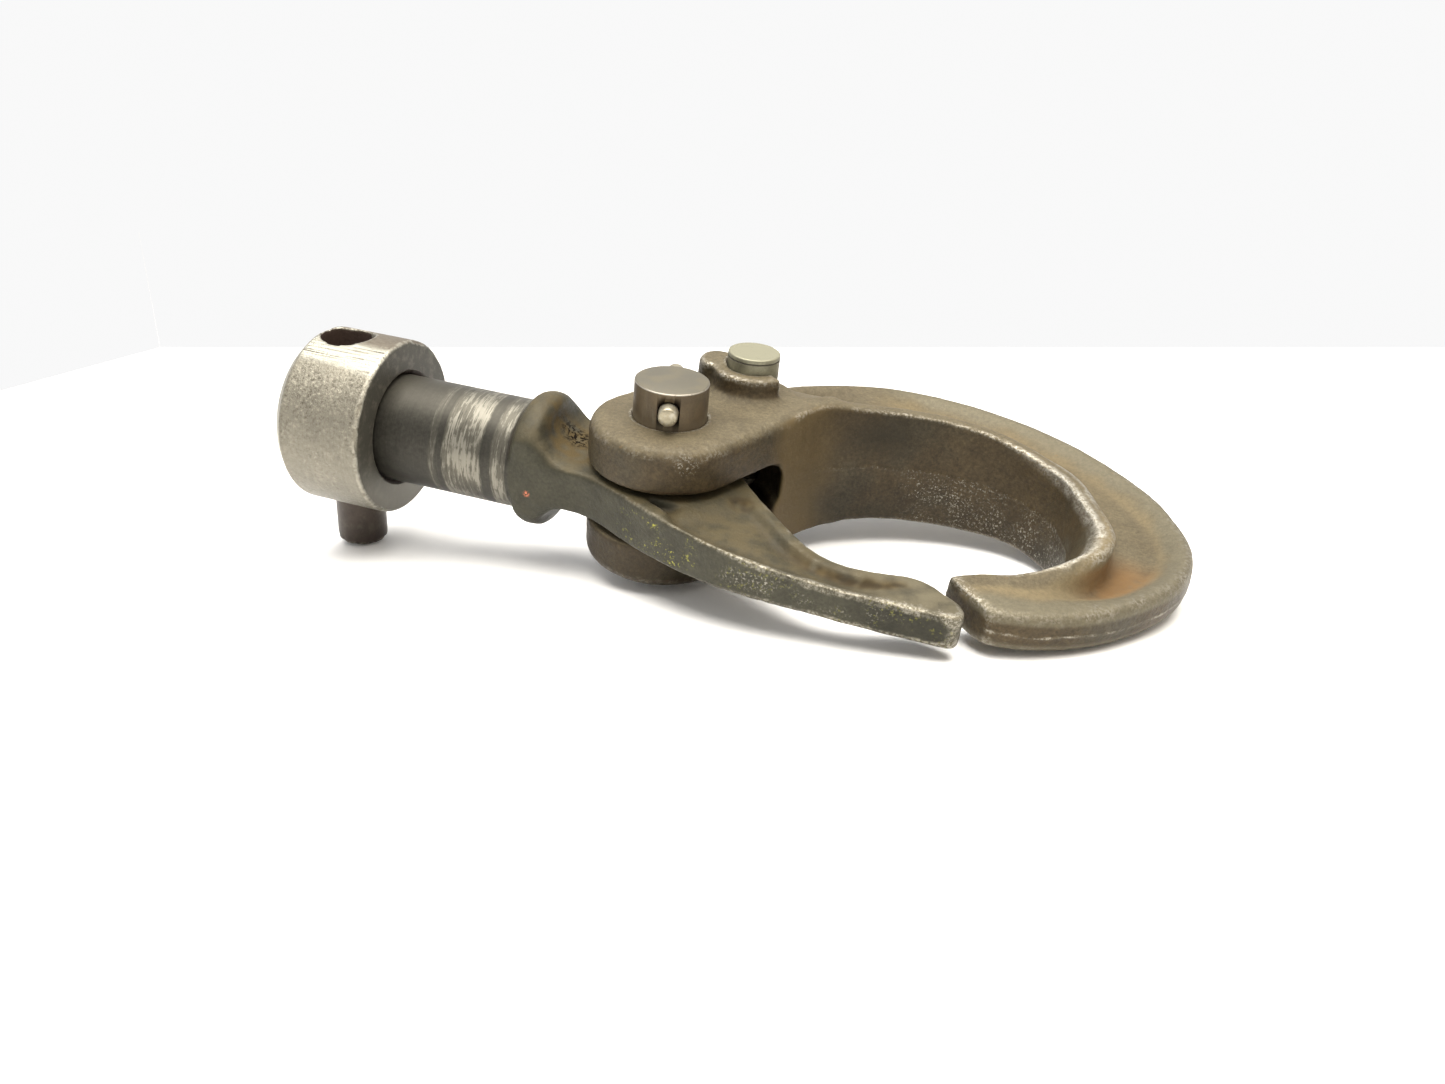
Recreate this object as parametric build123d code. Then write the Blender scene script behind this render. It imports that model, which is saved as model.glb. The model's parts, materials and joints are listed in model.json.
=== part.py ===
from build123d import *
import os
from math import cos, radians, sin

# Swivel shank hook with a hinged, self-closing bowl.  Millimetres.
# The stations below are counted from the pivot pin, where its axis crosses the mid-plane.
# +X from the shank to the bowl, +Y towards the spine of the bowl, +Z along the pivot pin
# (towards the push button of the lock).
# The parts are written out with the origin on the shank axis at the thrust face of the collar,
# the face the hook hangs by.

# ---------------------------------------------------------------- driving dimensions
PIVOT_R = 11.1          # 7/8 inch load pin
EAR_R = 23.6            # round ears of the fork, forged slightly off the pivot centre
EAR_X, EAR_Y = 0.3, -1.6
EAR_TOP = 23.1          # half height over the two ears
SLOT_HALF = 8.95        # half gap between the ears
SLOT_R = 36.7           # floor of the fork slot, about the pivot
RUN = 0.05              # radial clearance of the running fits

SHANK_R = 17.4          # 1-3/8 inch shank
SHANK_END_X = -116.0
FLANGE_FACE_X = -44.3   # where the plain shank meets the flange
LOBE_X = -40.0
LOBE_R = 21.5

COLLAR_FRONT_X = -89.3
COLLAR_BACK_X = -118.8
COLLAR_R = 28.3
COLLAR_PIN_X = -108.0
COLLAR_PIN_R = 8.1
COLLAR_PIN_LOW = -44.5
COLLAR_PIN_LEN = 56.0
COLLAR_PIN_CLOCK = -2.5 # degrees about the shank

TANG_HALF = 7.4         # half thickness of the tang and the root of the finger
TANG_R = 22.5
PAD_R = 18.0            # raised rubbing pad round the pivot hole
PAD_HALF = 8.6
FINGER_HALF = 5.1       # half thickness of the finger near its tip
LUG_R = 31.1            # lock tooth on the tang
LUG_FROM = 80.0         # degrees about the pivot, flank that meets the lock pin
LUG_TO = 116.0

LOCK_X, LOCK_Y = 16.5, 33.5
LOCK_R = 8.35           # push button and lock collar
LOCK_NECK_R = 5.8
LOCK_TOP = 35.0
LOCK_NECK_TOP = 17.8    # underside of the button when the hook is shut
LOCK_NECK_LOW = -6.3    # top of the lock collar when the hook is shut
LOCK_STEP = -10.6       # step in the lower ear that stops the pin
LOCK_FLANGE_R = 9.5
LOCK_FLANGE_T = 1.4
LOCK_FOOT = LOCK_STEP - LOCK_FLANGE_T
LOCK_BORE_R = 3.7       # blind bore for the spring
LOCK_BORE_TOP = 12.0
GUARD_R = 13.4
GUARD_TOP = 30.4

PLUG_TOP = -20.4
PLUG_T = 1.2
RING_T = 0.9

PIN_HEAD_R = 14.0
PIN_HEAD_LOW = -26.9
PIN_TOP = 34.4
CROSS_PIN_R = 2.85
CROSS_PIN_Z = 28.6
CROSS_PIN_FRONT = 15.0   # from the pivot axis to the end on the finger side
CROSS_PIN_BACK = 21.5
CROSS_PIN_TURN = 14.0   # degrees of the cross pin from the Y axis

RIM_SPINE = 8.4         # half thickness of the outer rim at the spine
RIM_JAW = 6.0           # and at the jaw
WEB_HALF = 5.0          # half thickness of the recessed web
FLANGE_WIDE = 8.0       # width of the tall inner flange


def bar(radius, low, high, x=0.0, y=0.0):
    """Round bar along Z between two heights."""
    return Pos(x, y, low) * Cylinder(radius, high - low, align=(Align.CENTER, Align.CENTER, Align.MIN))


def bar_x(radius, low, high):
    """Round bar along X between two stations."""
    return Pos((low + high) / 2, 0, 0) * Rot(0, 90, 0) * Cylinder(radius, high - low)


def slab(face, half):
    """Plan outline given the same thickness either side of the mid-plane."""
    return extrude(face, amount=half, both=True)


def polar(radius, angle):
    return (radius * cos(radians(angle)), radius * sin(radians(angle)))


def beside(curve, distance, start=0.0, end=1.0, count=16):
    """Smooth curve a constant distance to the left of another, between two fractions of its length."""
    points = []
    for i in range(count):
        t = start + (end - start) * i / (count - 1)
        spot = curve @ t
        tangent = curve % t
        points.append((spot.X - distance * tangent.Y, spot.Y + distance * tangent.X))
    return Spline(*points)


def height_prism(points, span, along="Y"):
    """Solid whose height follows (station, half height) points, mirrored about the mid-plane."""
    upper = [(station, half) for station, half in points]
    lower = [(station, -half) for station, half in reversed(points)]
    outline = Polyline(*upper, *lower, close=True)
    plane = Plane.XZ if along == "Y" else Plane.YZ
    return extrude(plane * make_face(outline), amount=span, both=True)


# ---------------------------------------------------------------- outlines of the bowl
FORK_FRONT = (21.7, -11.6)
FORK_ROOT = (33.4, 12.8)
FORK_LEAN = (0.432, 0.902)      # direction of the straight front of the fork
FORK_BACK = (-3.0, 46.0)
JAW_INNER = (88.2, -26.6)
JAW_OUTER = (100.8, -41.4)


def opening_curve():
    """Inner wall of the bowl from the root of the fork round to the jaw."""
    return Spline(FORK_ROOT, (38.2, 22.6), (43.6, 30.8), (52.5, 37.3), (63.5, 42.0), (76.0, 44.7),
                  (89.0, 44.4), (101.4, 40.8), (111.0, 34.0), (117.8, 25.5), (121.2, 14.0),
                  (121.4, 2.0), (117.8, -9.5), (110.0, -17.2), (100.0, -21.4), JAW_INNER,
                  tangents=[FORK_LEAN, (-0.88, -0.47)])


def outer_curve():
    """Outer rim from the jaw round the bowl and up the spine to the back of the fork."""
    return Spline(JAW_OUTER, (116.0, -38.0), (130.0, -30.2), (144.5, -16.0), (153.8, -1.5),
                  (157.6, 14.0), (155.4, 31.0), (147.4, 50.0), (132.4, 69.0), (116.0, 82.6),
                  (98.0, 91.6), (78.0, 96.4), (57.0, 96.4), (35.5, 90.0), (18.0, 77.5),
                  (6.0, 62.0), FORK_BACK)


def blade_face():
    closing = Polyline(FORK_BACK, (0.0, 20.0), FORK_FRONT, FORK_ROOT)
    return make_face(opening_curve() + Line(JAW_INNER, JAW_OUTER) + outer_curve() + closing)


def flange_face():
    """Band that follows the opening from the fork to the jaw."""
    inner = beside(opening_curve(), -0.2, 0.03, 0.93, 24)
    outer = beside(opening_curve(), FLANGE_WIDE, 0.03, 0.93, 24)
    return make_face(inner + outer + Line(inner @ 0, outer @ 0) + Line(inner @ 1, outer @ 1))


def web_face():
    """Recess between the tall flange and the bead of the outer rim."""
    outer = beside(outer_curve(), 8.5, 0.09, 0.86, 24)
    inner = beside(opening_curve(), FLANGE_WIDE + 2.5, 0.20, 0.84, 24)
    jaw_end = Line(inner @ 1, outer @ 0)
    fork_end = Line(outer @ 1, inner @ 0)
    return make_face(outer + inner + jaw_end + fork_end)


def ear_face():
    """Plan of one ear: round about the pivot, drawn out to carry the lock pin."""
    back = (EAR_X + polar(EAR_R, 150)[0], EAR_Y + polar(EAR_R, 150)[1])
    low = (EAR_X + polar(EAR_R, 240)[0], EAR_Y + polar(EAR_R, 240)[1])
    around = ThreePointArc(back, low, FORK_FRONT)
    front = Line(FORK_FRONT, FORK_ROOT)
    root = Spline(FORK_ROOT, (38.2, 22.6), (43.6, 30.8), (52.5, 37.3), tangents=[FORK_LEAN, (0.87, 0.49)])
    shoulder = Spline((52.5, 37.3), (46.0, 46.0), (32.0, 51.5), (16.0, 52.5), FORK_BACK)
    return make_face(around + front + root + shoulder + Line(FORK_BACK, back))


def blade():
    rim = slab(blade_face(), 12.0)
    slope = (RIM_SPINE - RIM_JAW) / 135
    taper = height_prism([(-60, RIM_JAW - 20 * slope), (120, RIM_JAW + 160 * slope)], 200, "X")
    rim = (rim & taper).solid()
    outer_edges = rim.edges().filter_by(lambda e: e.length > 250 and abs(e.center().Z) > 1)
    rim = fillet(outer_edges, 2.6)
    pocket = extrude(web_face(), amount=10.0, dir=(0, 0, 1))
    return rim - Pos(0, 0, WEB_HALF) * pocket - Pos(0, 0, -WEB_HALF - 10.0) * pocket


def inner_flange():
    """Tall flange round the inside of the bowl, dying away towards the jaw."""
    tall = slab(flange_face(), EAR_TOP)
    along_spine = height_prism([(20, EAR_TOP), (43, EAR_TOP), (50, 21.2), (62, 20.0), (78, 19.4),
                                (93, 18.4), (101, 17.4), (112, 16.0), (140, 15.6)], 200, "Y")
    round_bowl = height_prism([(-60, 5.8), (-22, 5.8), (-16, 8.6), (-8, 12.0), (2, 14.2),
                               (14, 15.2), (30, 16.0), (44, 18.6), (70, 21.0)], 200, "X")
    spine_side = Box(86, 300, 60, align=(Align.MAX, Align.CENTER, Align.CENTER))
    opening = slab(make_face(opening_curve() + Line(JAW_INNER, FORK_ROOT)), 40)
    return (tall & along_spine & (round_bowl + Pos(86, 0, 0) * spine_side)) - opening


def ears():
    """Both ears as one block; the top slopes away on the spine side of the lock."""
    block = slab(ear_face(), EAR_TOP)
    rims = block.edges().filter_by(lambda e: abs(abs(e.center().Z) - EAR_TOP) < 0.01)
    block = fillet(rims, 3.8)
    slope = Polyline((32, EAR_TOP), (42, 20.8), (50, 17.0), (58, 12.0), (58, 40), (32, 40), close=True)
    return block - extrude(Plane.YZ * make_face(slope), amount=80, both=True)


def fork_slot():
    """Gap for the tang: a round-cornered disc about the pivot, open at the neck and finger side."""
    disc = Cylinder(SLOT_R, 2 * SLOT_HALF)
    disc = fillet(disc.edges().filter_by(GeomType.CIRCLE), 6.0)
    side = make_face(Polyline((0, 0), polar(70, 104), (-80, 60), (-80, -60), (10, -60),
                              polar(70, -40), close=True))
    return disc + slab(side, SLOT_HALF)


def lock_guard():
    """C-shaped wall round the push button, open on the spine side."""
    wall = bar(GUARD_R, EAR_TOP - 4, GUARD_TOP, LOCK_X, LOCK_Y)
    horn = Pos(LOCK_X - 12.0, LOCK_Y - 0.5, EAR_TOP - 4) * Ellipse(5.6, 7.0)
    horn = extrude(horn, amount=GUARD_TOP + 0.8 - EAR_TOP + 4, dir=(0, 0, 1))
    open_side = make_face(Polyline((0, 0), polar(60, -32), (60, 60), polar(60, 140), close=True))
    gap = Pos(LOCK_X, LOCK_Y, EAR_TOP) * extrude(open_side, amount=40, dir=(0, 0, 1))
    return wall + horn - gap


def hook_bowl():
    body = blade() + inner_flange() + ears() + lock_guard()
    body -= fork_slot()
    body -= bar(PIVOT_R + RUN, -40, 40)
    body -= bar(LOCK_R + 0.1, LOCK_STEP, 40, LOCK_X, LOCK_Y)
    body -= bar(LOCK_FLANGE_R + 0.1, -40, LOCK_STEP, LOCK_X, LOCK_Y)
    groove_low = PLUG_TOP - PLUG_T - RING_T
    body -= bar(LOCK_FLANGE_R + 1.0, groove_low - 0.05, groove_low + RING_T, LOCK_X, LOCK_Y)
    return body


# ---------------------------------------------------------------- shank, tang and gate finger
def finger_back():
    return Spline((-44.3, -17.3), (-31.7, -18.2), (-20.0, -18.9), (-12.0, -22.0), (2.1, -30.0),
                  (16.0, -36.5), (25.6, -40.1), (36.0, -42.6), (51.6, -44.9), (73.0, -46.3),
                  (91.0, -46.6))


def finger_front():
    return Spline((86.4, -33.0), (79.0, -30.4), (70.0, -31.7), (60.0, -31.4), (52.0, -28.0),
                  (44.8, -21.8), (36.1, -12.2), (26.5, -0.6), polar(TANG_R, 30))


def finger_face():
    tip = Spline((91.0, -46.6), (94.3, -44.4), (94.2, -41.0), (91.0, -37.0), (86.4, -33.0))
    eye = ThreePointArc(polar(TANG_R, 30), polar(TANG_R, 80), polar(TANG_R, 135))
    neck = Spline(polar(TANG_R, 135), (-30.0, 15.6), (-44.3, 16.4))
    return make_face(finger_back() + tip + finger_front() + eye + neck + Line((-44.3, 16.4), (-44.3, -17.3)))


def finger():
    plate = slab(finger_face(), 12.0)
    thickness = height_prism([(-60, TANG_HALF), (4, TANG_HALF), (16, 7.0), (26, 6.5), (36, 6.0),
                              (46, 5.5), (56, FINGER_HALF), (110, FINGER_HALF)], 120, "Y")
    plate = plate & thickness
    back = beside(finger_back(), 5.0, 0.30, 0.80)
    front = beside(finger_front(), 5.0, 0.24, 0.80)
    eye = ThreePointArc(front @ 1, polar(25.5, -55), back @ 0)
    pocket_plan = make_face(back + front + Line(back @ 1, front @ 0) + eye)
    pocket = extrude(pocket_plan, amount=10.0, dir=(0, 0, 1))
    return plate - Pos(0, 0, 4.0) * pocket - Pos(0, 0, -14.0) * pocket


def lock_tooth():
    """Tooth on the tang that the lock collar stands in front of while the hook is shut."""
    outline = make_face(Polyline((0, 0), polar(60, LUG_FROM), polar(60, LUG_TO), close=True))
    tooth = slab(outline, TANG_HALF) & Cylinder(LUG_R, 40)
    return tooth


def shank_gate_forging():
    shank = bar_x(SHANK_R, SHANK_END_X, FLANGE_FACE_X + 2)
    shank = chamfer(shank.edges().filter_by(GeomType.CIRCLE).sort_by(Axis.X)[0], 1.2)
    lobe = bar_x(LOBE_R, FLANGE_FACE_X, -35.2)
    lobe = fillet(lobe.edges().filter_by(GeomType.CIRCLE), 3.4)
    lobe = lobe & (Pos(-40, 0.6, 0) * Box(60, 36.0, 80))
    saddle = height_prism([(-44.0, 16.6), (-37.4, 16.6), (-35.0, 13.6), (-33.2, 11.0), (-31.2, 9.1),
                           (-29.7, 8.4), (-27.0, 7.3)], 60, "Y")
    saddle = saddle & (Pos(-40, -0.5, 0) * Box(60, 33.6, 80))
    saddle = saddle & bar_x(LOBE_R - 1.5, -60, -20)
    body = shank + lobe + saddle + finger() + bar(PAD_R, -PAD_HALF, PAD_HALF) + lock_tooth()
    body -= bar(PIVOT_R + RUN, -40, 40)
    body -= Rot(COLLAR_PIN_CLOCK, 0, 0) * bar(COLLAR_PIN_R + 0.1, -40, 40, COLLAR_PIN_X)
    return body


# ---------------------------------------------------------------- collar and pins
def shank_collar():
    body = bar_x(COLLAR_R, COLLAR_BACK_X, COLLAR_FRONT_X)
    rims = body.edges().filter_by(GeomType.CIRCLE).sort_by(Axis.X)
    body = chamfer(rims[0], 3.2)
    body = chamfer(body.edges().filter_by(GeomType.CIRCLE).sort_by(Axis.X)[-1], 0.8)
    body -= bar_x(SHANK_R + 0.1, COLLAR_BACK_X - 1, COLLAR_FRONT_X + 1)
    mouth = Pos(COLLAR_FRONT_X - 1.8, 0, 0) * Rot(0, 90, 0) * Cone(
        SHANK_R, SHANK_R + 1.6, 1.9, align=(Align.CENTER, Align.CENTER, Align.MIN))
    body -= mouth
    body -= Rot(COLLAR_PIN_CLOCK, 0, 0) * bar(COLLAR_PIN_R + 0.1, -40, 40, COLLAR_PIN_X)
    return body


def collar_cross_pin():
    pin = bar(COLLAR_PIN_R, COLLAR_PIN_LOW, COLLAR_PIN_LOW + COLLAR_PIN_LEN, COLLAR_PIN_X)
    pin = chamfer(pin.edges().filter_by(GeomType.CIRCLE), 0.9)
    return Rot(COLLAR_PIN_CLOCK, 0, 0) * pin


def pivot_pin():
    pin = bar(PIVOT_R, PIN_HEAD_LOW, PIN_TOP)
    pin = chamfer(pin.edges().filter_by(GeomType.CIRCLE).sort_by(Axis.Z)[-1], 0.7)
    head = bar(PIN_HEAD_R, PIN_HEAD_LOW, -EAR_TOP - 0.05)
    head = fillet(head.edges().filter_by(GeomType.CIRCLE).sort_by(Axis.Z)[0], 1.5)
    hole = Cylinder(CROSS_PIN_R, 60)
    for side in (-1, 1):
        mouth = Rot(0, 90 - 90 * side, 0) * Pos(0, 0, PIVOT_R - 1.0) * Cone(
            CROSS_PIN_R, CROSS_PIN_R + 0.7, 1.4, align=(Align.CENTER, Align.CENTER, Align.MIN))
        hole += mouth
    return pin + head - Rot(0, 0, CROSS_PIN_TURN) * Pos(0, 0, CROSS_PIN_Z) * Rot(90, 0, 0) * hole


def pivot_cross_pin():
    pin = bar(CROSS_PIN_R, -CROSS_PIN_BACK, CROSS_PIN_FRONT)
    pin = chamfer(pin.edges().filter_by(GeomType.CIRCLE), 0.4)
    return Rot(0, 0, CROSS_PIN_TURN) * Pos(0, 0, CROSS_PIN_Z) * Rot(90, 0, 0) * pin


# ---------------------------------------------------------------- lock
def lock_pin():
    button = bar(LOCK_R, LOCK_NECK_TOP, LOCK_TOP)
    button = chamfer(button.edges().filter_by(GeomType.CIRCLE).sort_by(Axis.Z)[-1], 0.5)
    button -= bar(LOCK_R + 1, LOCK_TOP - 1.7, LOCK_TOP - 1.35) - bar(LOCK_R - 0.25, 0, 40)
    neck = bar(LOCK_NECK_R, LOCK_NECK_LOW, LOCK_NECK_TOP)
    collar = bar(LOCK_R, LOCK_FOOT, LOCK_NECK_LOW)
    flange = bar(LOCK_FLANGE_R, LOCK_FOOT, LOCK_STEP)
    body = button + neck + collar + flange - bar(LOCK_BORE_R, -40, LOCK_BORE_TOP)
    return Pos(LOCK_X, LOCK_Y, 0) * body


def lock_spring():
    """Compression spring between the plug and the end of the blind bore."""
    wire = 0.55
    radius = 2.85
    turns = 13
    length = LOCK_BORE_TOP - PLUG_TOP - 2 * wire - 0.1
    path = Helix(length / turns, length, radius)
    section = Plane(origin=path @ 0, z_dir=path % 0) * Circle(wire)
    coil = sweep(section, path=path)
    return Pos(LOCK_X, LOCK_Y, PLUG_TOP + wire + 0.05) * coil


def lock_plug():
    return bar(LOCK_FLANGE_R + 0.05, PLUG_TOP - PLUG_T, PLUG_TOP, LOCK_X, LOCK_Y)


def lock_retaining_ring():
    low = PLUG_TOP - PLUG_T - RING_T
    ring = bar(LOCK_FLANGE_R + 0.95, low, low + RING_T - 0.05) - bar(LOCK_FLANGE_R - 1.6, low - 1, low + 2)
    mouth = Pos(0, 10, low) * Box(5.0, 20, 4)
    ring -= mouth
    for side in (-1, 1):
        ear = Pos(side * 4.4, LOCK_FLANGE_R - 2.3) * Circle(2.0)
        ear -= Pos(side * 4.4, LOCK_FLANGE_R - 2.5) * Circle(0.8)
        ring += Pos(0, 0, low) * extrude(ear, amount=RING_T - 0.05)
    return Pos(LOCK_X, LOCK_Y, 0) * ring


PARTS = {
    "shank_gate_forging": shank_gate_forging,
    "hook_bowl": hook_bowl,
    "pivot_pin": pivot_pin,
    "pivot_cross_pin": pivot_cross_pin,
    "lock_pin": lock_pin,
    "lock_spring": lock_spring,
    "lock_plug": lock_plug,
    "lock_retaining_ring": lock_retaining_ring,
    "shank_collar": shank_collar,
    "collar_cross_pin": collar_cross_pin,
}

os.makedirs("parts", exist_ok=True)
for name, make in PARTS.items():
    shape = Pos(-COLLAR_FRONT_X, 0, 0) * make()
    print(name, "solids", len(shape.solids()), "volume", round(shape.volume, 1))
    export_step(shape, f"parts/{name}.step")
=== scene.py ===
import json
import math

import bmesh
import bpy
import numpy as np
from mathutils import Matrix, Vector, noise
from mathutils.kdtree import KDTree


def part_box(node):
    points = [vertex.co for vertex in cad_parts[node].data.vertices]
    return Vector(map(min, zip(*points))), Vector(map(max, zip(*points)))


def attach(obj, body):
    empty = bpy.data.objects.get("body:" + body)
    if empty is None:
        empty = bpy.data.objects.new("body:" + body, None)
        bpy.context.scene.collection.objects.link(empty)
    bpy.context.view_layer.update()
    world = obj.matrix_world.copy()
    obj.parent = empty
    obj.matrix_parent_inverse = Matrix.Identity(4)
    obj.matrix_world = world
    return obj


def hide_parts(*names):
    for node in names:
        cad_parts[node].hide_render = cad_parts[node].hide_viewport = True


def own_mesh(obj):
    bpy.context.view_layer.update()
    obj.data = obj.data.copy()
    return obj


# Swivel shank hook lying on a table.  Metres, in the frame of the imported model.
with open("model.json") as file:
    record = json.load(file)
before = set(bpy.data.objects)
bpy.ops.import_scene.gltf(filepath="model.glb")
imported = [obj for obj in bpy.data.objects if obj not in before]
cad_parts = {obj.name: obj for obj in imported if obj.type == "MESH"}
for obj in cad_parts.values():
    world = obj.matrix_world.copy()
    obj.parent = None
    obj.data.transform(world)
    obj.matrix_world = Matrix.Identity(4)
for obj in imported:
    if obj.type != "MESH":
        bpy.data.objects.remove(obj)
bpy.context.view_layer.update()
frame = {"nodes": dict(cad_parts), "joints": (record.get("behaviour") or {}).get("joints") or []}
scene = bpy.context.scene
MM = 0.001

joints = {joint["name"]: joint for joint in frame["joints"]}
PIVOT = Vector(joints["hook_open"]["pos_m"])
LOCK = sum(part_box("lock_pin"), Vector()) / 2
COLLAR_PIN = sum(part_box("collar_cross_pin"), Vector()) / 2

# Millimetres about the pivot axis: the lock pin and the middle of the jaw.
LOCK_AT = (16.5, 33.5)
JAW_AT = (94.5, -34.0)
# Along the shank from the pivot: low end, high end and strength of its worn bands.
WORN_BANDS = ((-70.4, -68.2, 0.30), (-65.6, -53.2, 0.80), (-49.6, -44.8, 0.75))
# Lean of the collar's cross hole about the shank.
COLLAR_PIN_LEAN = math.tan(math.radians(2.5))

# Normal of the table the hook lies on, and its distance from the origin.
TABLE_UP = Vector((-0.1425, 0.175, 0.974)).normalized()
TABLE_OFFSET = -0.0427


# ---------------------------------------------------------------- mesh tools
def object_from(name, mesh):
    piece = bpy.data.objects.new(name, mesh)
    scene.collection.objects.link(piece)
    return piece


def read(items, key, width, kind=np.float32):
    """One row for each of a mesh's vertices, edges or normals."""
    flat = np.empty(len(items) * width, kind)
    items.foreach_get(key, flat)
    return flat.reshape(-1, width)


def points_of(mesh):
    return read(mesh.vertices, "co", 3).astype(float)


def set_points(mesh, points):
    mesh.vertices.foreach_set("co", points.astype(np.float32).ravel())
    mesh.update()


def edges_of(mesh):
    return read(mesh.edges, "vertices", 2, np.int32)


def normals_of(mesh):
    return read(mesh.vertex_normals, "vector", 3).astype(float)


def relaxed(points, edges, rounds, weight=1.0):
    """Points moved towards the mean of their neighbours, round after round."""
    a, b = edges[:, 0], edges[:, 1]
    count = len(points)
    degree = np.maximum(np.bincount(a, minlength=count) + np.bincount(b, minlength=count), 1)
    share = np.broadcast_to(np.asarray(weight, float) * 0.5, count)
    result = points.copy()
    for _ in range(rounds):
        for axis in range(3):
            column = result[:, axis]
            total = np.bincount(a, column[b], count) + np.bincount(b, column[a], count)
            result[:, axis] = column + share * (total / degree - column)
    return result


def grain(points, size, seed=0.0):
    """Smooth noise from about -1 to 1 with features `size` millimetres across."""
    scaled = points / (size * MM) + np.array((seed, seed * 1.7, -seed))
    return np.array([noise.noise(Vector(p)) for p in scaled])


def step(values, low, high):
    """Smooth ramp from 0 at low to 1 at high, where either may be the larger."""
    t = np.clip((values - low) / (high - low), 0, 1)
    return t * t * (3 - 2 * t)


def mark(mesh, name, values):
    """Stores one number per point, for the mesh's material to read."""
    layer = mesh.attributes.new(name, "FLOAT", "POINT")
    layer.data.foreach_set("value", np.asarray(values, np.float32))


def bake_modifiers(piece):
    """Puts the result of a piece's modifiers into its own mesh."""
    graph = bpy.context.evaluated_depsgraph_get()
    made = bpy.data.meshes.new_from_object(piece.evaluated_get(graph))
    piece.modifiers.clear()
    piece.data = made
    return made


def evened(piece, voxel):
    """Remeshes a closed piece with faces `voxel` millimetres across, to be worked like clay."""
    remesh = piece.modifiers.new("even", "REMESH")
    remesh.mode = "VOXEL"
    remesh.voxel_size = voxel * MM
    made = bake_modifiers(piece)
    made.name = piece.name
    made.materials.clear()
    made.shade_smooth()


def clay(node, name, voxel):
    """Evenly meshed copy of a CAD node."""
    source = frame["nodes"][node].data.copy()
    shell = bmesh.new()
    shell.from_mesh(source)
    bmesh.ops.remove_doubles(shell, verts=shell.verts, dist=1e-6)
    shell.to_mesh(source)
    shell.free()
    piece = object_from(name, source)
    evened(piece, voxel)
    return piece


def smooth_curve(corners, steps=14):
    """Dense points of a smooth curve through the corners (Catmull-Rom)."""
    p = np.array([corners[0], *corners, corners[-1]], float)
    spots = []
    for i in range(1, len(p) - 2):
        for t in np.arange(steps) / steps:
            a, b, c, d = p[i - 1], p[i], p[i + 1], p[i + 2]
            spots.append(0.5 * (2 * b + (c - a) * t + (2 * a - 5 * b + 4 * c - d) * t ** 2
                                + (3 * b - a - 3 * c + d) * t ** 3))
    return np.array(spots + [p[-1]])


def nearest(plan, curve):
    """For each plan point: distance to the curve (positive on its left), the normal there and
    the share of the curve's length."""
    tree = KDTree(len(curve))
    for i, spot in enumerate(curve):
        tree.insert((spot[0], spot[1], 0), i)
    tree.balance()
    index = np.array([tree.find((x, y, 0))[1] for x, y in plan])
    ahead = np.gradient(curve, axis=0)
    ahead /= np.linalg.norm(ahead, axis=1)[:, None]
    left = np.stack([-ahead[:, 1], ahead[:, 0]], 1)[index]
    return ((plan - curve[index]) * left).sum(1), left, index / (len(curve) - 1)


def soften(mesh, rounds, weight=1.0):
    """Rounds off a mesh's corners, and returns its points."""
    points = relaxed(points_of(mesh), edges_of(mesh), rounds, weight)
    set_points(mesh, points)
    return points


def mark_edges(piece, rounds=14, scale=0.25 * MM):
    """Stores how convex (wear) and how concave (hollow) the surface is at each point."""
    mesh = piece.data
    points, edges = points_of(mesh), edges_of(mesh)
    offset = ((points - relaxed(points, edges, rounds)) * normals_of(mesh)).sum(1)
    offset = relaxed(np.repeat(offset[:, None], 3, 1), edges, 2)[:, 0]
    mark(mesh, "wear", np.clip(offset / scale, 0, 1))
    mark(mesh, "hollow", np.clip(-offset / scale, 0, 1))


def fade_wear(mesh, share):
    """Multiplies the stored wear, where an edge is less worn than its shape suggests."""
    layer = mesh.attributes["wear"].data
    wear = np.zeros(len(layer), np.float32)
    layer.foreach_get("value", wear)
    wear *= share
    layer.foreach_set("value", wear)
    return wear


def local(points):
    """Points in millimetres about the pivot axis."""
    return (points - np.array(PIVOT)) / MM


def distance(q, spot=(0, 0)):
    """How far each point is from a spot, or from an axis along Z."""
    return np.linalg.norm(q[:, :len(spot)] - spot, axis=1)


# ---------------------------------------------------------------- materials
class Nodes:
    """Short ways to add and link the nodes of one tree."""

    def __init__(self, tree):
        self.tree = tree

    def join(self, value, socket):
        """Links a node's output to a socket, or sets the socket to a plain value."""
        if isinstance(value, (int, float, tuple)):
            socket.default_value = value
        else:
            self.tree.links.new(value, socket)

    def add(self, kind, inputs=None, **settings):
        """Adds a node with its settings, and joins values to its named or numbered inputs."""
        node = self.tree.nodes.new(kind)
        for key, value in settings.items():
            setattr(node, key, value)
        for key, value in (inputs or {}).items():
            self.join(value, node.inputs[key])
        return node

    def math(self, operation, a, b=0.0, c=0.0):
        return self.add("ShaderNodeMath", {0: a, 1: b, 2: c}, operation=operation).outputs[0]

    def times(self, a, b):
        return self.math("MULTIPLY", a, b)

    def ramp(self, value, low, high, start=0.0, end=1.0, shape="SMOOTHSTEP"):
        """Ramp from start at low to end at high."""
        inputs = {0: value, 1: low, 2: high, 3: start, 4: end}
        return self.add("ShaderNodeMapRange", inputs, interpolation_type=shape).outputs[0]

    def mix_number(self, mask, a, b):
        return self.add("ShaderNodeMix", {0: mask, 2: a, 3: b}, data_type="FLOAT").outputs[0]

    def mix_colour(self, mask, a, b, blend="MIX"):
        inputs = {0: mask, 6: a, 7: b}
        return self.add("ShaderNodeMix", inputs, data_type="RGBA", blend_type=blend).outputs[2]


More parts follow.
